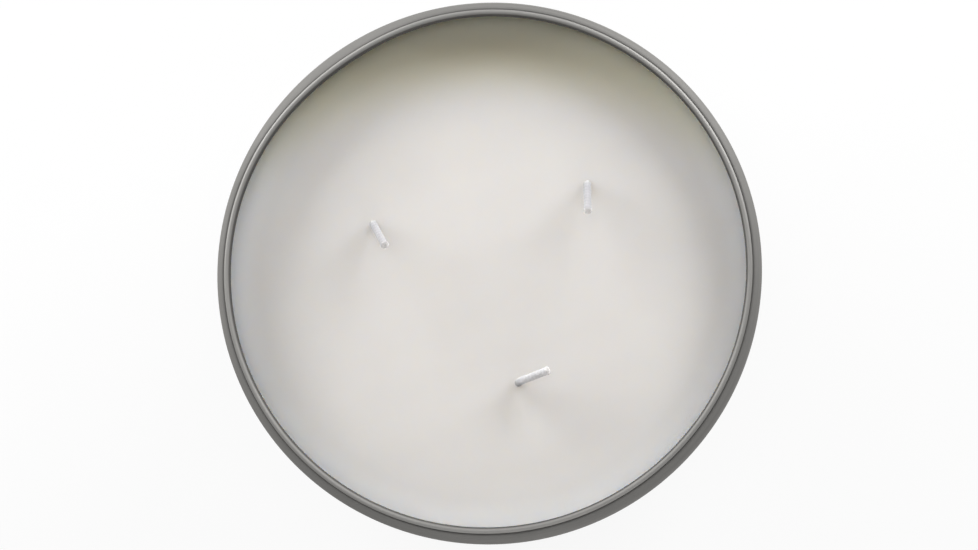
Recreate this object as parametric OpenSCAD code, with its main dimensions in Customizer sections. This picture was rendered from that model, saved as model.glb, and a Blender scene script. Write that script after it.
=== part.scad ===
// Outdoor candle in a spun steel bowl: three cotton wicks in one casting of wax.
// Millimetres. The bowl stands on z = 0 and its axis is the z axis.

/* [Bowl] */
// Outside diameter at the widest section, just below the rim
overall_d = 200; // [185:1:240]
// Height of the bowl from the table to the top of the rim bead
bowl_h = 70; // [55:1:78]
// Thickness of the steel sheet
sheet_t = 0.6; // [0.4:0.05:0.7]
// Outside radius of the curved side wall
wall_r = 100; // [82:1:160]
// Outside radius of the rounded shoulder above the wall
shoulder_r = 6; // [4:0.1:9]

/* [Rim] */
// Outside radius of the lip between shoulder and groove
lip_r = 0.9; // [0.8:0.1:1.4]
// Slope at which the shoulder passes into the lip, measured down from the crest of the lip
lip_slope = 40; // [25:1:60]
// Radius inside the groove between lip and bead
neck_r = 0.8; // [0.5:0.1:0.9]
// Angle at which the lip passes into the groove, measured up from the outside
neck_turn = 156; // [125:1:165]
// Diameter of the curled bead
bead_d = 1.9; // [1.8:0.1:2.6]
// How far the inside of the bead stands back from the mouth
bead_back = 0.5; // [0.2:0.1:0.8]
// Angle at which the curl stops, measured from the outside of the bead downwards
curl_end = 105; // [60:5:105]
// Clearance between the bead and the lip
groove_gap = 0.3; // [0.1:0.1:0.8]

/* [Base] */
// Outside radius of the bend between wall and base
corner_r = 12; // [6:0.5:20]
// Width of the flat ring that the bowl stands on
foot_w = 4; // [2:0.5:10]
// Height of the raised middle of the base
panel_rise = 2; // [1:0.1:3.5]
// Bend radius of the step up to the raised middle
step_r = 2; // [1.8:0.1:4]

/* [Wax] */
// Depth of the wax below the top of the rim
wax_drop = 9; // [7:0.5:25]
// Height to which the wax climbs at the wall
wax_climb = 1.2; // [0.5:0.1:2]
// Width of the curved edge of the wax along the wall
climb_w = 3.5; // [2:0.1:6]
// Clearance between the wax and what it was cast against
wax_gap = 0.1; // [0.05:0.01:0.2]
// Height of the small mound of wax round each wick
mound_h = 0.5; // [0.2:0.1:2]
// Width of the mound round the wick
mound_w = 2.8; // [1:0.1:4]

/* [Wicks] */
// Diameter of the braided wick
wick_d = 2.9; // [2:0.1:3.6]
// Length of wick that stands out of its mound
wick_free = 15; // [10:0.5:25]
// Bend radius of the wick where it leans over
wick_bend = 4; // [3:0.5:6]
// Diameter of the wick at its cut end, where the braid spreads
wick_tip_d = 3.2; // [2:0.1:4.4]
// Length over which the braid spreads
wick_fray = 1.5; // [0.5:0.1:3]

/* [Wick 1] */
// Distance from the axis of the bowl
wick_1_out = 46.2; // [25:0.1:55]
// Bearing of the wick round the axis
wick_1_at = 157; // [130:1:180]
// Lean of the wick from upright
wick_1_lean = 56; // [20:1:75]
// Bearing towards which the wick leans
wick_1_to = 300; // [0:1:360]

/* [Wick 2] */
// Distance from the axis of the bowl
wick_2_out = 48.3; // [25:0.1:55]
// Bearing of the wick round the axis
wick_2_at = 41; // [10:1:60]
// Lean of the wick from upright
wick_2_lean = 61; // [20:1:75]
// Bearing towards which the wick leans
wick_2_to = 273; // [0:1:360]

/* [Wick 3] */
// Distance from the axis of the bowl
wick_3_out = 42.6; // [25:0.1:55]
// Bearing of the wick round the axis
wick_3_at = 285; // [260:1:310]
// Lean of the wick from upright
wick_3_lean = 67; // [20:1:75]
// Bearing towards which the wick leans
wick_3_to = 17; // [0:1:360]

/* [Wick tabs] */
// Diameter of the pressed steel tab
tab_d = 16; // [10:0.5:20]
// Thickness of the tab's sheet
tab_t = 0.3; // [0.2:0.05:0.5]
// Height of the neck that grips the wick, from the underside of the tab
tab_neck_h = 6; // [3:0.5:12]
// Bend radius between the tab and its neck, inside the sheet
tab_bend = 0.6; // [0.4:0.1:1.5]
// Clearance between the wick and its tab
wick_fit = 0.05; // [0.02:0.01:0.1]

/* [Glue dots] */
// Diameter of the adhesive dot under each tab
dot_d = 12; // [6:0.5:16]
// Thickness of the adhesive dot
dot_t = 0.8; // [0.4:0.1:1.5]

/* [Hidden] */
$fn = 96;
// Angle between the points of an arc, and of the long arc of the wall
arc_step = 7.5;
wall_step = 3;
// Points of the curved edges of the wax
curve_steps = 6;
// Points round a wick
wick_sides = 24;
// How far the cutting shapes pass the faces that they cut
past = 1;

overall_r = overall_d / 2;
bead_r = bead_d / 2;
half_t = sheet_t / 2;
wick_r = wick_d / 2;

// The sheet is a chain of bends that share their tangents, from the cut edge of the curl to the axis.
// The places across come first: shoulder, lip, neck and bead, each beside the one before.
lip_turn = 90 - lip_slope;
shoulder_x = overall_r - shoulder_r;
lip_x = shoulder_x + (shoulder_r - lip_r) * cos(lip_turn);
neck_x = lip_x + (lip_r + neck_r) * cos(neck_turn);
mouth_r = neck_x - neck_r - sheet_t;
bead_x = mouth_r + bead_back + bead_r;
// The heights follow from the top of the bead down, which clears the lip by the gap.
bead_z = bowl_h - bead_r;
lip_z = bead_z - sqrt(pow(bead_r + groove_gap + lip_r, 2) - pow(lip_x - bead_x, 2));
neck_z = lip_z + (lip_r + neck_r) * sin(neck_turn);
widest_z = lip_z - (shoulder_r - lip_r) * sin(lip_turn);
// The short wall between bead and neck is tangent to both and leans in towards the mouth.
bead_to_neck = [neck_x - bead_x, neck_z - bead_z];
bead_end = 360 + atan2(bead_to_neck.y, bead_to_neck.x)
    - acos((bead_r - neck_r - sheet_t) / norm(bead_to_neck));
// The corner runs inside the wall's curve and is tangent to it and to the table.
wall_x = overall_r - wall_r;
wall_turn = asin((widest_z - corner_r) / (wall_r - corner_r));
corner_x = wall_x + (wall_r - corner_r) * cos(wall_turn);
// Two equal bends make the step up to the raised middle.
step_turn = acos(1 - panel_rise / (2 * step_r));
step_x = corner_x - foot_w;
panel_x = step_x - 2 * step_r * sin(step_turn);
floor_z = panel_rise + sheet_t;

// One bend: [centre x, centre z, radius at mid sheet, first angle, last angle, step]
bowl_bends = [
    [bead_x, bead_z, bead_r - half_t, -curl_end, bead_end, arc_step],
    [neck_x, neck_z, neck_r + half_t, bead_end, 180 + neck_turn, arc_step],
    [lip_x, lip_z, lip_r - half_t, neck_turn, lip_turn, arc_step],
    [shoulder_x, widest_z, shoulder_r - half_t, lip_turn, 0, arc_step],
    [wall_x, widest_z, wall_r - half_t, 0, -wall_turn, wall_step],
    [corner_x, corner_r, corner_r - half_t, -wall_turn, -90, arc_step],
    [step_x, half_t + step_r, step_r, -90, -90 - step_turn, arc_step],
    [panel_x, half_t + panel_rise - step_r, step_r, 90 - step_turn, 90, arc_step]
];

wax_z = bowl_h - wax_drop;
tab_z = floor_z + dot_t;
tab_bore_r = wick_r + wick_fit;
// The tab's sheet turns up from the flat rim into the neck.
tab_bends = [
    [tab_bore_r + tab_t + tab_bend, tab_t + tab_bend, tab_bend + tab_t / 2, 270, 180, arc_step]
];

// [distance out, bearing, lean, bearing of the lean] of each wick
wicks = [
    [wick_1_out, wick_1_at, wick_1_lean, wick_1_to],
    [wick_2_out, wick_2_at, wick_2_lean, wick_2_to],
    [wick_3_out, wick_3_at, wick_3_lean, wick_3_to]
];

// Points along one bend, at the given distance to the left of the way it runs
function bend_points(bend, left) =
    let (
        turn = bend[4] - bend[3],
        steps = max(2, ceil(abs(turn) / bend[5])),
        r = bend[2] - left * sign(turn)
    )
    [for (i = [0 : steps])
        let (a = bend[3] + turn * i / steps)
        [bend[0] + r * cos(a), bend[1] + r * sin(a)]];

// Points along a whole chain of bends; the straight stretches join them
function side_points(bends, left) =
    [for (bend = bends) each bend_points(bend, left)];

function backwards(points) =
    [for (i = [len(points) - 1 : -1 : 0]) points[i]];

// Outline of the bowl's sheet, which ends at the axis
function bowl_outline() = concat(
    side_points(bowl_bends, half_t),
    [[0, panel_rise], [0, floor_z]],
    backwards(side_points(bowl_bends, -half_t))
);

// Space inside the bowl, from the neck down, kept clear of the sheet by the gap
function hollow_outline(gap) =
    let (below_bead = [for (i = [1 : len(bowl_bends) - 1]) bowl_bends[i]])
    concat([[0, bowl_h], [mouth_r - gap, bowl_h]],
        side_points(below_bead, -half_t - gap),
        [[0, floor_z + gap]]);

// Radius of the hollow at a height, inside the wall or inside the shoulder
function hollow_r(z, gap) =
    z < widest_z
        ? wall_x + sqrt(pow(wall_r - sheet_t - gap, 2) - pow(z - widest_z, 2))
        : shoulder_x + sqrt(pow(shoulder_r - sheet_t - gap, 2) - pow(z - widest_z, 2));

// Everything below the surface of the wax, which curves up at the wall
function level_outline() =
    let (edge_r = hollow_r(wax_z + wax_climb, wax_gap))
    concat(
        [[0, -past], [overall_r, -past], [overall_r, wax_z + wax_climb]],
        [for (i = [0 : curve_steps])
            let (u = 1 - i / curve_steps)
            [edge_r - climb_w * (1 - u), wax_z + wax_climb * u * u]],
        [[0, wax_z]]
    );

// Outline of the mound of wax round a wick, from its foot to the wick
function mound_outline() = concat(
    [[0, -past], [wick_r + mound_w, -past]],
    [for (i = [0 : curve_steps])
        let (u = i / curve_steps)
        [wick_r + mound_w * (1 - u), mound_h * u * u]],
    [[0, mound_h]]
);

// Outline of a wick tab's sheet
function tab_outline() = concat(
    [[tab_d / 2, tab_t], [tab_d / 2, 0]],
    side_points(tab_bends, tab_t / 2),
    [[tab_bore_r, tab_neck_h], [tab_bore_r + tab_t, tab_neck_h]],
    backwards(side_points(tab_bends, -tab_t / 2))
);

// Space that a tab takes up in the wax, with the wick in its neck
function tab_space(gap) = concat(
    [[0, -gap], [tab_d / 2 + gap, -gap], [tab_d / 2 + gap, tab_t + gap]],
    side_points(tab_bends, -tab_t / 2 - gap),
    [[tab_bore_r + tab_t + gap, tab_neck_h + gap], [0, tab_neck_h + gap]]
);

// Stops along a wick in the plane of its lean: [x, z, lean there, radius there]
function wick_stops(lean) =
    let (
        straight_h = wax_z + mound_h - tab_z,
        bends = ceil(lean / arc_step),
        end_x = wick_bend * (1 - cos(lean)),
        end_z = straight_h + wick_bend * sin(lean),
        free_end = wick_free - PI * wick_bend * lean / 180,
        fray = free_end - wick_fray
    )
    concat(
        [[0, 0, 0, wick_r]],
        [for (k = [0 : bends])
            let (a = lean * k / bends)
            [wick_bend * (1 - cos(a)), straight_h + wick_bend * sin(a), a, wick_r]],
        [[end_x + fray * sin(lean), end_z + fray * cos(lean), lean, wick_r]],
        [[end_x + free_end * sin(lean), end_z + free_end * cos(lean), lean, wick_tip_d / 2]]
    );

// Circle of points round the wick at one stop, square to its run
function wick_ring(stop) =
    [for (k = [0 : wick_sides - 1])
        let (a = 360 * k / wick_sides, side = stop[3] * cos(a))
        [stop[0] + side * cos(stop[2]), stop[3] * sin(a), stop[1] - side * sin(stop[2])]];

// Faces of a closed tube of rings, each face clockwise from outside
function tube_faces(rings) = concat(
    [[for (k = [0 : wick_sides - 1]) k]],
    [for (j = [0 : rings - 2], k = [0 : wick_sides - 1])
        let (a = j * wick_sides, next = (k + 1) % wick_sides)
        [a + k, a + wick_sides + k, a + wick_sides + next, a + next]],
    [[for (k = [wick_sides - 1 : -1 : 0]) (rings - 1) * wick_sides + k]]
);

// Puts its children on the axis of a wick, at the given height
module at_wick(i, z) {
    rotate([0, 0, wicks[i][1]])
        translate([wicks[i][0], 0, z])
            rotate([0, 0, -wicks[i][1]])
                children();
}

module bowl() {
    color("#8c8b86")
        rotate_extrude()
            polygon(bowl_outline());
}

module wax() {
    color("#e3e0d8")
        difference() {
            union() {
                rotate_extrude()
                    intersection() {
                        polygon(hollow_outline(wax_gap));
                        polygon(level_outline());
                    }
                for (i = [0 : len(wicks) - 1])
                    at_wick(i, wax_z)
                        rotate_extrude()
                            polygon(mound_outline());
            }
            for (i = [0 : len(wicks) - 1])
                wick_space(i);
        }
}

// The space that a wick, its tab and its glue dot take up in the wax
module wick_space(i) {
    at_wick(i, 0) {
        translate([0, 0, tab_z])
            cylinder(h = bowl_h, r = wick_r + wax_gap);
        translate([0, 0, tab_z])
            rotate_extrude()
                polygon(tab_space(wax_gap));
        translate([0, 0, floor_z - past])
            cylinder(h = dot_t + past, r = dot_d / 2 + wax_gap);
    }
}

// A straight stretch through the wax, one bend, and a straight free end that spreads at its cut
module wick(i) {
    rings = [for (stop = wick_stops(wicks[i][2])) wick_ring(stop)];
    color("#dcdcde")
        at_wick(i, tab_z)
            rotate([0, 0, wicks[i][3]])
                polyhedron(points = [for (ring = rings) each ring], faces = tube_faces(len(rings)));
}

module wick_tab(i) {
    color("#b9b8b2")
        at_wick(i, tab_z)
            rotate_extrude()
                polygon(tab_outline());
}

module glue_dot(i) {
    color("#f2efe6")
        at_wick(i, floor_z)
            cylinder(h = dot_t, d = dot_d);
}

bowl();
wax();
wick(0);  // wick_1
wick(1);  // wick_2
wick(2);  // wick_3
wick_tab(0);  // wick_tab_1
wick_tab(1);  // wick_tab_2
wick_tab(2);  // wick_tab_3
glue_dot(0);  // glue_dot_1
glue_dot(1);  // glue_dot_2
glue_dot(2);  // glue_dot_3
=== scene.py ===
import math

import bpy
import numpy as np
from mathutils import Matrix, Vector


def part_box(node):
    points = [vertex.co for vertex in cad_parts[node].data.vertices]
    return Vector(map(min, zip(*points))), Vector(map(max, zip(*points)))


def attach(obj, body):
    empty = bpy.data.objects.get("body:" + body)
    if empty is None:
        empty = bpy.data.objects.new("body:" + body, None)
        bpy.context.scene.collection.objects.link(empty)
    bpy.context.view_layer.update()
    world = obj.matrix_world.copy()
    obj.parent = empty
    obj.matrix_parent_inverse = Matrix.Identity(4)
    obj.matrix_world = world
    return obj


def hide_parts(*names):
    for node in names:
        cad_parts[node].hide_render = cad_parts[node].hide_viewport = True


# A citronella candle in a spun steel bowl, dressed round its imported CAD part. Metres, in the part's frame:
# the bowl stands on z = 0, +X is right and +Y away in the photograph.
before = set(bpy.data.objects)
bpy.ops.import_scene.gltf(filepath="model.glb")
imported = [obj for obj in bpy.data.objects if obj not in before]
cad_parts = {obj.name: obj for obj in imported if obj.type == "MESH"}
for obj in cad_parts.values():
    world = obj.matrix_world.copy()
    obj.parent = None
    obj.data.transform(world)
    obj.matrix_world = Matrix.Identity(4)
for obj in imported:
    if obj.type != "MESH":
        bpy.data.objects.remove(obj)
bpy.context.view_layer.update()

# The bowl
# One disc of thin steel sheet, spun over a former into a shallow bowl. Its edge is curled down into
# a bead above a tight groove and a round shoulder, and the lathe leaves fine lines round the satin steel.
bowl_lo, bowl_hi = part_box("bowl")
WIDEST_R = -bowl_lo.x
RIM_Z = bowl_hi.z
SHEET = 0.0006
SHOULDER_R = 0.006
LIP_R = 0.0009
LIP_TURN = 50
NECK_R = 0.0008
NECK_TURN = 156
BEAD_R = 0.00095
BEAD_BACK = 0.0005
CURL_END = 105
GROOVE_GAP = 0.0003
WALL_R = 0.1
CORNER_R = 0.012
FOOT_W = 0.004
PANEL_RISE = 0.002
STEP_R = 0.002
# The hand-worked rim is a little out of round. Each row is one dent, where it stands in from the true
# circle: bearing and spread in degrees, how far the shoulder stands in, how far the bead and the lip do,
# and how far the bead is pressed on to the lip.
DENTS = ((126, 23, 0.0002, 0.0018, 0.0003), (75, 40, 0, 0.0004, 0))
BOWL_COLUMNS = 240
# Height from which the dents fade in, going up the wall
DENT_FADE_Z = 0.02
# Steps along the bends of the sheet, in degrees, the radius of the ring next to each pole, and the longest
# stretch between two rings
FINE_STEP = 6
WALL_STEP = 1
POLE_R = 0.004
LONGEST_STRETCH = 0.004

shoulder_x = WIDEST_R - SHOULDER_R
lip_x = shoulder_x + (SHOULDER_R - LIP_R) * math.cos(math.radians(LIP_TURN))
neck_x = lip_x + (LIP_R + NECK_R) * math.cos(math.radians(NECK_TURN))
bead_x = neck_x - NECK_R - SHEET + BEAD_BACK + BEAD_R
bead_z = RIM_Z - BEAD_R
lip_z = bead_z - math.sqrt((BEAD_R + GROOVE_GAP + LIP_R) ** 2 - (lip_x - bead_x) ** 2)
neck_z = lip_z + (LIP_R + NECK_R) * math.sin(math.radians(NECK_TURN))
widest_z = lip_z - (SHOULDER_R - LIP_R) * math.sin(math.radians(LIP_TURN))
bead_to_neck = Vector((neck_x - bead_x, neck_z - bead_z))
bead_end = 360 + math.degrees(math.atan2(bead_to_neck.y, bead_to_neck.x)
                              - math.acos((BEAD_R - NECK_R - SHEET) / bead_to_neck.length))
wall_x = WIDEST_R - WALL_R
wall_turn = math.degrees(math.asin((widest_z - CORNER_R) / (WALL_R - CORNER_R)))
corner_x = wall_x + (WALL_R - CORNER_R) * math.cos(math.radians(wall_turn))
step_turn = math.degrees(math.acos(1 - PANEL_RISE / (2 * STEP_R)))
step_x = corner_x - FOOT_W
panel_x = step_x - 2 * STEP_R * math.sin(math.radians(step_turn))
floor_z = PANEL_RISE + SHEET

# Each bend of the sheet: radius and height of its centre, radius at mid sheet, first and last angle, step
bead = (bead_x, bead_z, BEAD_R - SHEET / 2, -CURL_END, bead_end, FINE_STEP)
neck = (neck_x, neck_z, NECK_R + SHEET / 2, bead_end, 180 + NECK_TURN, FINE_STEP)
lip = (lip_x, lip_z, LIP_R - SHEET / 2, NECK_TURN, LIP_TURN, FINE_STEP)
shoulder = (shoulder_x, widest_z, SHOULDER_R - SHEET / 2, LIP_TURN, 0, FINE_STEP / 2)
wall = (wall_x, widest_z, WALL_R - SHEET / 2, 0, -wall_turn, WALL_STEP)
corner = (corner_x, CORNER_R, CORNER_R - SHEET / 2, -wall_turn, -90, FINE_STEP)
step_down = (step_x, SHEET / 2 + STEP_R, STEP_R, -90, -90 - step_turn, FINE_STEP)
step_up = (panel_x, SHEET / 2 + PANEL_RISE - STEP_R, STEP_R, 90 - step_turn, 90, FINE_STEP)
bowl_bends = (bead, neck, lip, shoulder, wall, corner, step_down, step_up)


def sheet_side(bends, left):
    """Radius and height of points along one side of a bent sheet. Each bend is an arc about its centre c, at
    c + r (cos a, sin a), whose r is the mid-sheet radius less the distance to the left of the way it runs."""
    arcs = []
    for centre_r, centre_z, radius, first, last, step in bends:
        angle = np.radians(np.linspace(first, last, max(2, math.ceil(abs(last - first) / step)) + 1))
        r = radius - left * np.sign(last - first)
        arcs.append(np.stack([centre_r + r * np.cos(angle), centre_z + r * np.sin(angle)], axis=1))
    return np.concatenate(arcs)


def filled(points, longest):
    """The same line of points, with more of them put evenly into each stretch that is longer than the given
    length: a stretch of length s is cut into s / longest parts, rounded up."""
    reach = np.linalg.norm(np.diff(points, axis=0), axis=1)
    parts = np.maximum(1, np.ceil(reach / longest)).astype(int)
    along = np.concatenate([i + np.arange(n) / n for i, n in enumerate(parts)] + [[len(reach)]])
    given = np.arange(len(points))
    return np.stack([np.interp(along, given, column) for column in points.T], axis=1)


def turned(profile, columns):
    """Points of a profile of radii and heights turned about the z axis, with x = r cos a and y = r sin a:
    row by row along the profile, and column by column round the axis."""
    angle = np.linspace(0, 2 * np.pi, columns, endpoint=False)
    r, z = profile[:, 0, None], profile[:, 1, None]
    return np.stack([r * np.cos(angle), r * np.sin(angle), z + 0 * angle], axis=-1)


def ring_mesh(name, grid, first_pole, last_pole, values=()):
    """A closed piece from rings of points: neighbouring rings are joined by quads, and the first and the
    last ring by triangles to their poles. values holds, for each named attribute, one number per point and
    pole."""
    rows, columns = grid.shape[:2]
    ring = np.arange(rows * columns).reshape(rows, columns)
    beside = np.roll(ring, -1, axis=1)
    quads = np.stack([ring[:-1], beside[:-1], beside[1:], ring[1:]], axis=-1).reshape(-1, 4)
    first, last = np.full(columns, rows * columns), np.full(columns, rows * columns + 1)
    fans = np.concatenate([
        np.stack([first, beside[0], ring[0]], axis=-1),
        np.stack([ring[-1], beside[-1], last], axis=-1),
    ])
    points = np.concatenate([grid.reshape(-1, 3), [first_pole, last_pole]])
    mesh = bpy.data.meshes.new(name)
    mesh.from_pydata(points.tolist(), [], quads.tolist() + fans.tolist())
    for key, numbers in dict(values).items():
        attribute = mesh.attributes.new(key, "FLOAT", "POINT")
        attribute.data.foreach_set("value", np.asarray(numbers, np.float32))
    mesh.shade_smooth()
    mesh.set_sharp_from_angle(angle=math.radians(45))
    piece = bpy.data.objects.new(name, mesh)
    bpy.context.scene.collection.objects.link(piece)
    return piece


def smooth_rise(x, low, high):
    """0 below low and 1 above high, with level ends: 3 t squared less 2 t cubed between them."""
    t = np.clip((x - low) / (high - low), 0, 1)
    return t * t * (3 - 2 * t)


outside = sheet_side(bowl_bends, SHEET / 2)[::-1]
inside = sheet_side(bowl_bends, -SHEET / 2)
edge_line = np.concatenate([[[POLE_R, PANEL_RISE]], outside])
bowl_profile = filled(np.concatenate([edge_line, inside, [[POLE_R, floor_z]]]), LONGEST_STRETCH)
bowl_grid = turned(bowl_profile, BOWL_COLUMNS)
# Each dent is a bell curve of the bearing, exp(-t^2), that fades out down the wall.
bowl_angle = np.degrees(np.arctan2(bowl_grid[..., 1], bowl_grid[..., 0]))
at_shoulder = smooth_rise(bowl_grid[..., 2], DENT_FADE_Z, widest_z)
at_rim = smooth_rise(bowl_grid[..., 2], widest_z, neck_z)
at_bead = smooth_rise(bowl_grid[..., 2], neck_z, bead_z)
to_lip = Vector((lip_x - bead_x, lip_z - bead_z)).normalized()
inward = 0
for bearing, spread, shoulder_in, rim_in, pressed in DENTS:
    bell = np.exp(-((bowl_angle - bearing) / spread) ** 2)
    inward = inward + bell * (shoulder_in * at_shoulder + (rim_in - shoulder_in) * at_rim)
    inward = inward - bell * pressed * at_bead * to_lip.x
    bowl_grid[..., 2] += bell * pressed * at_bead * to_lip.y
bowl_grid[..., :2] *= (1 - inward / np.hypot(bowl_grid[..., 0], bowl_grid[..., 1]))[..., None]
# How far along the sheet each ring lies, from the middle of the base out to the edge and back inside
edge_run = np.linalg.norm(np.diff(edge_line, axis=0), axis=1).sum()
bowl_run = np.concatenate([[0], np.cumsum(np.linalg.norm(np.diff(bowl_profile, axis=0), axis=1))])
bowl_runs = np.concatenate([np.repeat(bowl_run, BOWL_COLUMNS), [0, bowl_run[-1]]])
bowl = ring_mesh("bowl_spun", bowl_grid, (0, 0, PANEL_RISE), (0, 0, floor_z), {"sheet_run": bowl_runs})


class Signal:
    """A value on its way through a material. It wraps an output socket, and arithmetic on it adds Math
    nodes."""

    def __init__(self, tree, socket=None):
        self.tree = tree
        self.socket = socket

    def node(self, kind, settings=None, sockets=None, output=0):
        """Adds a node of any kind to the tree. Its settings are set first, then its sockets get their
        numbers, colours or signals, and what comes back is the signal of one of its outputs."""
        made = self.tree.nodes.new(kind)
        for name, value in (settings or {}).items():
            setattr(made, name, value)
        for name, value in (sockets or {}).items():
            if isinstance(value, Signal):
                self.tree.links.new(value.socket, made.inputs[name])
            else:
                made.inputs[name].default_value = value
        return None if output is None else Signal(self.tree, made.outputs[output])

    def maths(self, operation, *values):
        return self.node("ShaderNodeMath", {"operation": operation}, dict(enumerate(values)))

    def __add__(self, other):
        return self.maths("ADD", self, other)

    def __sub__(self, other):
        return self.maths("SUBTRACT", self, other)

    def __rsub__(self, other):
        return self.maths("SUBTRACT", other, self)

    def __mul__(self, other):
        return self.maths("MULTIPLY", self, other)

    __radd__ = __add__
    __rmul__ = __mul__

    def rise(self, low, high):
        """0 below low and 1 above high, smooth between them."""
        sockets = {"Value": self, "From Min": low, "From Max": high}
        return self.node("ShaderNodeMapRange", {"interpolation_type": "SMOOTHSTEP"}, sockets)

    def colours(self, at_0, at_1):
        """A colour between two, or between a colour and a signal, by this value."""
        return self.node("ShaderNodeMix", {"data_type": "RGBA"}, {0: self, 6: at_0, 7: at_1}, 2)

    def noise(self, place, scale, detail=2.0, roughness=0.5):
        """Noise from 0 to 1 at a place, with so many lumps to the metre."""
        sockets = {"Vector": place, "Scale": scale, "Detail": detail, "Roughness": roughness}
        return self.node("ShaderNodeTexNoise", {}, sockets)

    def bump(self, depth, under=None):
        """A surface normal that follows this value as a height, of the given depth in metres."""
        sockets = {"Height": self, "Distance": depth}
        if under is not None:
            sockets["Normal"] = under
        return self.node("ShaderNodeBump", {}, sockets)


def new_material(name):
    """An empty material and the signal that its first nodes are made from."""
    material = bpy.data.materials.new(name)
    material.use_nodes = True
    material.node_tree.nodes.clear()
    return material, Signal(material.node_tree)


def coat(pieces, material, shader):
    """Ends a material with its shader and lays it on each of the pieces as its only one."""
    shader.node("ShaderNodeOutputMaterial", {}, {"Surface": shader}, None)
    for piece in pieces:
        piece.data.materials.clear()
        piece.data.materials.append(material)


steel, start = new_material("spun_steel")
place = start.node("ShaderNodeTexCoord", output="Object")
run = start.node("ShaderNodeAttribute", {"attribute_name": "sheet_run"}, output="Fac")
from_edge = run - edge_run
across = start.node("ShaderNodeSeparateXYZ", {}, {"Vector": place}, "X")
away = start.node("ShaderNodeSeparateXYZ", {}, {"Vector": place}, "Y")


def lathe_lines(per_metre, along):
    """Noise that changes fast along the sheet's run and slowly round the bowl, as the lines of a lathe do."""
    sockets = {"X": run * per_metre, "Y": across * along, "Z": away * along}
    return start.noise(start.node("ShaderNodeCombineXYZ", {}, sockets), 1.0, 3.0, 0.6)


fine_lines = lathe_lines(9000, 25)
tool_marks = lathe_lines(1100, 9)
smudges = start.noise(place, 26, 4.0, 0.6)
specks = start.noise(place, 900, 2.0, 0.5)
tone = tool_marks * 0.5 + fine_lines * 0.3 + smudges * 0.2
steel_colour = tone.rise(0.25, 0.75).colours((0.15, 0.147, 0.142, 1), (0.2, 0.196, 0.188, 1))
# The outer side and the top of the bead are smoother, and painted brighter there as a painted highlight. From
# the inner side of the bead down, the inside of the wall is painted darker, a painted shade that stands for
# the dark line there in the photograph.
bead_polish_and_sheen = from_edge.rise(-0.0003, 0.0) * (1 - from_edge.rise(0.0038, 0.0052))
painted_sheen_colour = (bead_polish_and_sheen * 0.4).colours(steel_colour, (0.27, 0.265, 0.255, 1))
# Painted shade: below the inner side of the bead the steel's colour is darkened.
painted_inner_shade = from_edge.rise(0.0045, 0.0052)
rim_colour = painted_inner_shade.colours(painted_sheen_colour, (0.085, 0.082, 0.078, 1))
steel_roughness = 0.7 - 0.16 * bead_polish_and_sheen + 0.08 * tool_marks + 0.08 * smudges.rise(0.35, 0.75) + 0.04 * specks
steel_normal = fine_lines.bump(0.000006, tool_marks.bump(0.00003))
coat([bowl], steel, start.node("ShaderNodeBsdfPrincipled", {}, {
    "Base Color": rim_colour,
    "Metallic": 1.0,
    "Specular Tint": (0.3, 0.3, 0.3, 1),
    "Roughness": steel_roughness,
    "Anisotropic": 0.4,
    "Anisotropic Rotation": 0.25,
    "Normal": steel_normal,
}))
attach(bowl, "root")
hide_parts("bowl")

# The glue dots
# Three discs of set adhesive, pressed flat under the wick tabs. They hold the tabs to the floor of the bowl
# while the wax is poured, and the wax hides them.
glue, start = new_material("set_glue")
place = start.node("ShaderNodeTexCoord", output="Object")
bubbles = start.node("ShaderNodeTexVoronoi", {}, {"Vector": place, "Scale": 900.0}, "Distance")
streaks = start.noise(place, 320, 3.0, 0.6)
glue_colour = streaks.rise(0.3, 0.7).colours((0.74, 0.68, 0.54, 1), (0.86, 0.82, 0.7, 1))
glue_dots = [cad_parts[f"glue_dot_{number}"] for number in (1, 2, 3)]
coat(glue_dots, glue, start.node("ShaderNodeBsdfPrincipled", {}, {
    "Base Color": glue_colour,
    "Roughness": 0.3 + 0.25 * streaks,
    "Subsurface Weight": 0.6,
    "Subsurface Radius": (1.0, 0.8, 0.5),
    "Subsurface Scale": 0.002,
    "Normal": (streaks + bubbles.rise(0.0, 0.3)).bump(0.00006),
}))

# The wick tabs
# Three tabs pressed from tinned steel: a round flat rim and a neck that is crimped on the wick. The press
# leaves them bright, with fine scratches and dull spots in the tin.
tin, start = new_material("tinned_steel")
place = start.node("ShaderNodeTexCoord", output="Object")
long_way = start.node("ShaderNodeMapping", {}, {
    "Vector": place,
    "Rotation": (0, 0, 0.4),
    "Scale": (1.0, 14.0, 1.0),
})
scratches = start.noise(long_way, 420, 4.0, 0.65)
spots = start.noise(place, 600, 3.0, 0.5)
tin_colour = spots.rise(0.35, 0.7).colours((0.5, 0.49, 0.46, 1), (0.66, 0.65, 0.62, 1))
wick_tabs = [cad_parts[f"wick_tab_{number}"] for number in (1, 2, 3)]
coat(wick_tabs, tin, start.node("ShaderNodeBsdfPrincipled", {}, {
    "Base Color": tin_colour,
    "Metallic": 1.0,
    "Roughness": 0.2 + 0.2 * scratches + 0.12 * spots.rise(0.4, 0.6),
    "Normal": scratches.bump(0.00002),
}))

# The wicks
# Three round cords braided from cotton yarn and primed with wax. Each stands in its tab, was bent over by
# hand above the wax, and was cut square, so that its yarns spread a little at the end.
WICK_R = 0.00145
TIP_R = 0.0016
FRAY = 0.0015
BEND_R = 0.004
FREE_LENGTH = 0.015
MOUND_H = 0.0005
WAX_Z = RIM_Z - 0.009
YARNS = 8
BRAID_PITCH = 0.0105
BRAID_DEPTH = 0.00016
END_DOME = 0.0002
END_YARN = 0.00018
WICK_COLUMNS = 72
# Distance between the rings of a wick where it shows and where the wax hides it. The close ones begin a
# little below the wax.
SHOWN_STEP = 0.00012
HIDDEN_STEP = 0.0004
SHOWN_BELOW = 0.002
# Lean from upright and bearing of the lean, in degrees, of each wick
WICK_LEANS = {1: (56, 300), 2: (61, 273), 3: (67, 17)}


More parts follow.
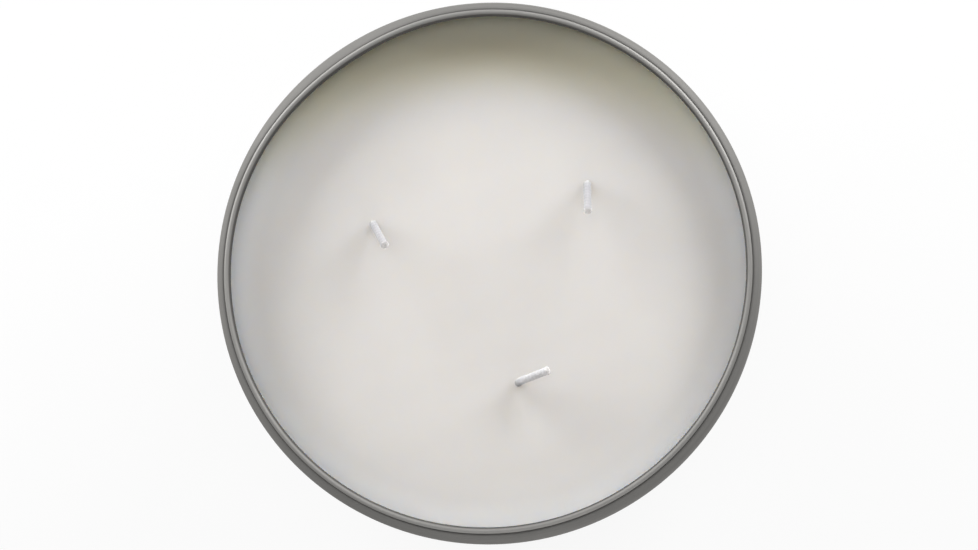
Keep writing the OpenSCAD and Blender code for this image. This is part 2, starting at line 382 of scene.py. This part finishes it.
def braid(round_angle, along):
    """Height from 0 to 1 of a tubular braid. Two sets of yarns wind left and right. Each yarn has the height
    sqrt(1 - u^2) (0.68 + 0.32 s cos(pi v)), with u from -1 to 1 across it, s 1 for one set and -1 for the
    other, and v counting the yarns that it meets, so that it goes over one and under the next."""
    turns = YARNS * round_angle / (2 * np.pi)
    climb = YARNS * along / BRAID_PITCH
    heights = []
    for own, other, side in ((turns + climb, turns - climb, 1), (turns - climb, turns + climb, -1)):
        dome = np.sqrt(np.clip(1 - (2 * (own - np.floor(own)) - 1) ** 2, 0, 1))
        wave = side * np.cos(np.pi * (other + np.floor(own)))
        heights.append(dome * (0.68 + 0.32 * wave))
    return np.maximum(*heights)


def wick_path(along, straight, lean):
    """Points, in the plane of the lean, of a cord that runs straight up, turns through an arc and goes
    straight on. On the arc, of radius R, the lean t takes it R (1 - cos t) sideways and R sin t up. What
    comes back is the sideways distance, the height and the lean of the cord."""
    turned_by = np.clip((along - straight) / BEND_R, 0, lean)
    beyond = np.maximum(0, along - straight - BEND_R * lean)
    sideways = BEND_R * (1 - np.cos(turned_by)) + beyond * np.sin(lean)
    height = np.minimum(along, straight) + BEND_R * np.sin(turned_by) + beyond * np.cos(lean)
    return sideways, height, turned_by


def braided_wick(number):
    """Mesh of one wick: circles square to the path, raised by the braid, widened at the cut end and closed
    there by a domed face of yarn ends."""
    tab_lo, tab_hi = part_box(f"wick_tab_{number}")
    foot = ((tab_lo + tab_hi) / 2).xy
    straight = WAX_Z + MOUND_H - tab_lo.z
    lean, bearing = (math.radians(v) for v in WICK_LEANS[number])
    length = straight + FREE_LENGTH
    hidden = np.arange(0, straight - SHOWN_BELOW, HIDDEN_STEP)
    shown = np.linspace(straight - SHOWN_BELOW, length, int((FREE_LENGTH + SHOWN_BELOW) / SHOWN_STEP))
    along = np.concatenate([hidden, shown])
    angle = np.linspace(0, 2 * np.pi, WICK_COLUMNS, endpoint=False)
    relief = braid(angle[None], along[:, None])
    spread = smooth_rise(along, length - FRAY, length)[:, None]
    radius = WICK_R + (TIP_R - WICK_R) * spread - BRAID_DEPTH * (1 - relief) * (1 + spread)
    # The cut face: rings that close in on the middle, each yarn end a small dome on it.
    inner = np.array([0.93, 0.8, 0.62, 0.42, 0.2])[:, None]
    ends = np.abs(np.sin(YARNS / 2 * angle[None] + 3 * inner)) * np.sin(np.pi * inner)
    dome = END_DOME * (1 - inner ** 2) + END_YARN * ends
    sideways, height, tilt = (np.concatenate([v, np.full(len(inner), v[-1])])[:, None]
                              for v in wick_path(along, straight, lean))
    beyond = np.concatenate([np.zeros(relief.shape), dome])
    radius = np.concatenate([radius, radius[-1] * inner])
    out = sideways + radius * np.cos(angle) * np.cos(tilt) + beyond * np.sin(tilt)
    up = height - radius * np.cos(angle) * np.sin(tilt) + beyond * np.cos(tilt)
    across = radius * np.sin(angle)
    grid = np.stack([
        foot.x + out * math.cos(bearing) - across * math.sin(bearing),
        foot.y + out * math.sin(bearing) + across * math.cos(bearing),
        tab_lo.z + up,
    ], axis=-1)
    heart = grid[-1].mean(axis=0)
    relief = np.concatenate([relief.ravel(), (0.4 + 0.6 * ends).ravel(), [1, 1]])
    past = np.concatenate([
        np.repeat(along - straight, WICK_COLUMNS),
        np.full(dome.size, FREE_LENGTH),
        [-1, FREE_LENGTH],
    ])
    return ring_mesh(f"wick_{number}_braid", grid, (foot.x, foot.y, tab_lo.z), heart,
                     {"yarn_height": relief, "past_wax": past})


cotton, start = new_material("waxed_cotton")
place = start.node("ShaderNodeTexCoord", output="Object")
yarn_height = start.node("ShaderNodeAttribute", {"attribute_name": "yarn_height"}, output="Fac")
past_wax = start.node("ShaderNodeAttribute", {"attribute_name": "past_wax"}, output="Fac")
fibres = start.noise(place, 5200, 3.0, 0.6)
patches = start.noise(place, 380, 2.0, 0.5)
between_yarns = 1 - yarn_height.rise(0.35, 0.85)
yarn_colour = patches.rise(0.3, 0.7).colours((0.6, 0.6, 0.64, 1), (0.64, 0.64, 0.68, 1))
# The hollows between the yarns are painted darker: painted shade.
shaded = (between_yarns * 0.3).colours(yarn_colour, (0.48, 0.48, 0.5, 1))
cut_end = past_wax.rise(FREE_LENGTH - 0.0006, FREE_LENGTH)
pale = (cut_end * 0.6).colours(shaded, (0.42, 0.41, 0.39, 1))
# Next to the wax the cotton is painted paler, near the wax's colour: it is wax-soaked there, and the paleness
# is also painted light that lifts the shade at the foot of each wick.
cotton_colour = past_wax.rise(0.0, 0.005).colours((0.7, 0.685, 0.665, 1), pale)
# A trick of the shading, fitted to the photograph: the low lamps whiten the edges of the wicks, so the
# normals of the dry yarns lean towards the world's up and take the light much as the level wax does.
UPWARD_LEAN = (0, 0, 3)
surface = start.node("ShaderNodeNewGeometry", output="Normal")
leaning = start.node("ShaderNodeVectorMath", {"operation": "ADD"}, {0: surface, 1: UPWARD_LEAN})
soft_normal = start.node("ShaderNodeVectorMath", {"operation": "NORMALIZE"}, {0: leaning})
wicks = {number: braided_wick(number) for number in WICK_LEANS}
cotton_roughness = 0.7 + 0.2 * fibres
dry_cotton = start.node("ShaderNodeBsdfPrincipled", {}, {
    "Base Color": cotton_colour,
    "Roughness": cotton_roughness,
    "IOR": 1.35,
    "Normal": (fibres * 0.6 + patches * 0.4).bump(0.00008, soft_normal),
})
# The part of the cotton that is soaked with wax spreads light inside. Its darker colour is fitted to the
# tone of the wicks in the photograph.
SOAKED_SHADE = 0.32
shade = {0: cotton_colour, 3: SOAKED_SHADE}
soaked_colour = start.node("ShaderNodeVectorMath", {"operation": "SCALE"}, shade)
soaked_cotton = start.node("ShaderNodeBsdfPrincipled", {}, {
    "Base Color": soaked_colour,
    "Roughness": cotton_roughness,
    "IOR": 1.35,
    "Subsurface Weight": 1.0,
    "Subsurface Radius": (1.0, 0.95, 0.9),
    "Subsurface Scale": 0.05,
    "Normal": (fibres * 0.6 + patches * 0.4).bump(0.00008),
})
soaked = 0.5 + 0.3 * past_wax.rise(FREE_LENGTH - 0.0016, FREE_LENGTH - 0.0004)
coat(wicks.values(), cotton, start.node("ShaderNodeMixShader", {}, {
    0: soaked,
    1: dry_cotton,
    2: soaked_cotton,
}))
for number, wick in wicks.items():
    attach(wick, "root")
    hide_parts(f"wick_{number}")

# The wax
# One pour of pale wax that fills the bowl round the wicks. It set smooth, climbs a little at the wall and
# at each wick, and sank very slightly between them as it cooled.
WAX_GAP = 0.0001
CLIMB_H = 0.0012
CLIMB_W = 0.0035
MOUND_W = 0.0028
MOUND_SHARE = 0.3
SINK = 0.00025
RIPPLE = 0.00002
WAX_COLUMNS = 480
# Rings of the top: up the wall, in to the wicks, across them, and in to the last ring next to the pole. Then
# the radius of that ring, and the longest stretch between two rings of the hidden underside.
CLIMB_RINGS = 12
OUTER_RINGS = 30
WICK_RINGS = 44
MIDDLE_RINGS = 28
TOP_POLE_R = 0.0015
LONGEST_HIDDEN = 0.006

edge_z = WAX_Z + CLIMB_H
edge_turn = math.degrees(math.asin((edge_z - widest_z) / (WALL_R - SHEET - WAX_GAP)))
wax_wall = (wall_x, widest_z, WALL_R - SHEET / 2, edge_turn, -wall_turn, 2 * WALL_STEP)
underside = sheet_side((wax_wall, corner, step_down, step_up), -SHEET / 2 - WAX_GAP)[::-1]
edge_r = underside[-1, 0]
wick_feet = []
for number in (1, 2, 3):
    tab_lo, tab_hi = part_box(f"wick_tab_{number}")
    wick_feet.append(((tab_lo + tab_hi) / 2).xy)
out_to_wicks = [foot.length for foot in wick_feet]
near, far = min(out_to_wicks) - 2 * MOUND_W, max(out_to_wicks) + 2 * MOUND_W
top_r = np.concatenate([
    np.linspace(edge_r, edge_r - CLIMB_W, CLIMB_RINGS, endpoint=False),
    np.linspace(edge_r - CLIMB_W, far, OUTER_RINGS, endpoint=False),
    np.linspace(far, near, WICK_RINGS, endpoint=False),
    np.linspace(near, TOP_POLE_R, MIDDLE_RINGS),
])
top_line = np.stack([top_r, np.full(top_r.shape, WAX_Z)], axis=1)
hidden_line = filled(np.concatenate([[[POLE_R, floor_z + WAX_GAP]], underside]), LONGEST_HIDDEN)
wax_grid = np.concatenate([turned(hidden_line, WAX_COLUMNS), turned(top_line, WAX_COLUMNS)])


def wax_height(x, y):
    """Height of the wax above its level, as a sum: H t^2 over the last of the way to the wall, one like it up
    to each wick that is lower than in the solids, a shallow round sink S sin^2(pi r / R) between the wall
    and the middle, and four faint waves A sin(2 pi d / L + s)."""
    r = np.hypot(x, y)
    height = CLIMB_H * np.clip((r - edge_r + CLIMB_W) / CLIMB_W, 0, 1) ** 2
    for foot in wick_feet:
        gap = np.hypot(x - foot.x, y - foot.y) - WICK_R
        height += MOUND_SHARE * MOUND_H * np.clip(1 - gap / MOUND_W, 0, 1) ** 2
    height -= SINK * np.sin(np.pi * np.clip(r / (edge_r - CLIMB_W), 0, 1)) ** 2
    rng = np.random.default_rng(5)
    for wave_length in (0.019, 0.027, 0.038, 0.055):
        way, shift = rng.uniform(0, 2 * np.pi, 2)
        height += RIPPLE * np.sin(2 * np.pi * (x * np.cos(way) + y * np.sin(way)) / wave_length + shift)
    return height


top = wax_grid[-len(top_r):]
top[..., 2] += wax_height(top[..., 0], top[..., 1])
wax_top_middle = (0, 0, WAX_Z + float(wax_height(np.zeros(1), np.zeros(1))[0]))
wax = ring_mesh("wax_casting", wax_grid, (0, 0, floor_z + WAX_GAP), wax_top_middle)

pale_wax, start = new_material("pale_wax")
place = start.node("ShaderNodeTexCoord", output="Object")
clouds = start.noise(place, 28, 3.0, 0.5)
bloom = start.noise(place, 420, 3.0, 0.55)
dimples = start.noise(place, 110, 2.0, 0.5)
pure_wax = clouds.rise(0.3, 0.7).colours((0.745, 0.72, 0.695, 1), (0.765, 0.74, 0.71, 1))
# Two things in the colour are fitted to the photograph, and stay under any light: in a crescent at its back
# the wax is painted warmer and darker, a painted shade with the tint of the rim's shadow there, and in a ring
# at the wall it is painted paler, painted light that makes up for the light the translucent wax loses into
# the steel.
SHADE_TINT_CENTRE = (0, -0.06, WAX_Z)
MIDDLE = (0, 0, WAX_Z)
apart = {"operation": "DISTANCE"}
from_front = start.node("ShaderNodeVectorMath", apart, {0: place, 1: SHADE_TINT_CENTRE}, "Value")
from_middle = start.node("ShaderNodeVectorMath", apart, {0: place, 1: MIDDLE}, "Value")
shade_tinted_wax = from_front.rise(0.12, 0.144).colours(pure_wax, (0.73, 0.685, 0.525, 1))
painted_light_ring = 1 + 0.2 * from_middle.rise(0.083, 0.0955)
wax_colour = start.node("ShaderNodeVectorMath", {"operation": "SCALE"}, {0: shade_tinted_wax, 3: painted_light_ring})
coat([wax], pale_wax, start.node("ShaderNodeBsdfPrincipled", {}, {
    "Base Color": wax_colour,
    "Roughness": 0.42 + 0.12 * bloom + 0.06 * clouds,
    "Subsurface Weight": 1.0,
    "Subsurface Radius": (1.0, 0.9, 0.75),
    "Subsurface Scale": 0.026,
    "IOR": 1.43,
    "Normal": dimples.bump(0.00006, bloom.bump(0.00001)),
}))
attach(wax, "root")
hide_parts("wax")

# The floor
# A plain white sheet under the candle. Cameras and mirrors see it glow white, and a part of it stays matt
# paper, so that it still takes the soft shadow of the bowl. From below it is clear, but along the seam of
# its two triangles a faint dark streak shows in the base.
FLOOR_HALF = 6.0
FLOOR_DROP = 0.00005
GLOW_SHARE = 0.9
corners = [(-1, -1), (1, -1), (1, 1), (-1, 1)]
floor_mesh = bpy.data.meshes.new("floor")
floor_points = [(x * FLOOR_HALF, y * FLOOR_HALF, -FLOOR_DROP) for x, y in corners]
floor_mesh.from_pydata(floor_points, [], [(0, 1, 2, 3)])
floor = bpy.data.objects.new("floor", floor_mesh)
bpy.context.scene.collection.objects.link(floor)


def seen_directly(start):
    """1 for camera rays and for rays from gloss and glass, 0 for the rays that carry light."""
    camera_ray = start.node("ShaderNodeLightPath", output="Is Camera Ray")
    glossy_ray = start.node("ShaderNodeLightPath", output="Is Glossy Ray")
    glass_ray = start.node("ShaderNodeLightPath", output="Is Transmission Ray")
    return start.maths("MAXIMUM", start.maths("MAXIMUM", camera_ray, glossy_ray), glass_ray)


paper, start = new_material("white_paper")
place = start.node("ShaderNodeTexCoord", output="Object")
grain = start.noise(place, 60, 3.0, 0.5)
paper_colour = grain.colours((0.82, 0.82, 0.82, 1), (0.86, 0.86, 0.86, 1))
matt = start.node("ShaderNodeBsdfDiffuse", {}, {"Color": paper_colour})
glow = start.node("ShaderNodeEmission", {}, {"Color": (1, 1, 1, 1), "Strength": 1.0})
sheet_shader = start.node("ShaderNodeMixShader", {}, {0: seen_directly(start) * GLOW_SHARE, 1: matt, 2: glow})
clear = start.node("ShaderNodeBsdfTransparent", {}, {})
underneath = start.node("ShaderNodeNewGeometry", output="Backfacing")
coat([floor], paper, start.node("ShaderNodeMixShader", {}, {0: underneath, 1: sheet_shader, 2: clear}))

# The light
# Two wide softboxes stand low behind the candle, one to each side, so that the rim shades the back of the wax
# and every wick throws two soft shadows forward. Three weak ones, from behind above, overhead and low in
# front, and a pale room fill in the rest.
LAMP_AWAY = 1.5
# Of each lamp: bearing from straight behind, counted to the left, and angle above the wax, both in degrees,
# width and height in metres, and watts. They are fitted to the light on the wax in the photograph.
LAMPS = (
    (52, 14, 1.4, 0.36, 34),
    (-42, 16.2, 1.2, 0.4, 33),
    (0, 32, 1.0, 0.3, 2.4),
    (0, 90, 0.8, 0.8, 2.9),
    (190, 12, 1.4, 0.4, 8),
)
ROOM_LEVEL = 0.1
for aside, height_angle, wide, tall, watts in LAMPS:
    panel = bpy.data.lights.new("lamp_panel", "AREA")
    panel.shape = "RECTANGLE"
    panel.size = wide
    panel.size_y = tall
    panel.energy = watts
    lamp = bpy.data.objects.new("lamp", panel)
    way_round = math.radians(90 + aside)
    way_up = math.radians(height_angle)
    towards = Vector((
        math.cos(way_round) * math.cos(way_up),
        math.sin(way_round) * math.cos(way_up),
        math.sin(way_up),
    ))
    lamp.location = Vector((0, 0, WAX_Z)) + towards * LAMP_AWAY
    lamp.rotation_euler = towards.to_track_quat("Z", "Y").to_euler()
    lamp.visible_camera = False
    bpy.context.scene.collection.objects.link(lamp)

room = bpy.data.worlds.new("pale_room")
room.use_nodes = True
room.node_tree.nodes.clear()
bpy.context.scene.world = room
start = Signal(room.node_tree)
level = ROOM_LEVEL + seen_directly(start) * (1 - ROOM_LEVEL)
sky = start.node("ShaderNodeBackground", {}, {"Color": (1, 1, 1, 1), "Strength": level})
room.node_tree.links.new(sky.socket, room.node_tree.nodes.new("ShaderNodeOutputWorld").inputs["Surface"])
bpy.context.scene.view_settings.view_transform = "Standard"

# The camera
# A long lens almost straight above the candle, tilted a little towards the lower right. The image is
# 978 by 550 pixels, and the middle of the rim lies a few pixels left of and above its centre.
IMAGE_W = 978
IMAGE_H = 550
RIM_MIDDLE_PX = (486.4, 268.0)
PX_PER_METRE = 2747
CAMERA_AWAY = 1.3
CAMERA_TILT = math.radians(9.6)
CAMERA_BEARING = math.radians(148.2)
SENSOR_W = 36.0

to_camera = Vector((
    math.sin(CAMERA_TILT) * math.sin(CAMERA_BEARING),
    math.sin(CAMERA_TILT) * math.cos(CAMERA_BEARING),
    math.cos(CAMERA_TILT),
))
first_right = Vector((0, 1, 0)).cross(to_camera).normalized()
first_up = to_camera.cross(first_right)
rim_middle = Vector((0, 0, RIM_Z))
camera_place = rim_middle + to_camera * CAMERA_AWAY
aim = (rim_middle + first_right * (IMAGE_W / 2 - RIM_MIDDLE_PX[0]) / PX_PER_METRE
       - first_up * (IMAGE_H / 2 - RIM_MIDDLE_PX[1]) / PX_PER_METRE)
back = (camera_place - aim).normalized()
right = Vector((0, 1, 0)).cross(back).normalized()
camera_data = bpy.data.cameras.new("camera")
camera_data.sensor_width = SENSOR_W
camera_data.lens = PX_PER_METRE * CAMERA_AWAY * SENSOR_W / IMAGE_W
camera_data.clip_start = 0.01
camera_data.clip_end = 50
camera = bpy.data.objects.new("camera", camera_data)
turn = Matrix((right, back.cross(right), back)).transposed().to_4x4()
camera.matrix_world = Matrix.Translation(camera_place) @ turn
bpy.context.scene.collection.objects.link(camera)
bpy.context.scene.camera = camera
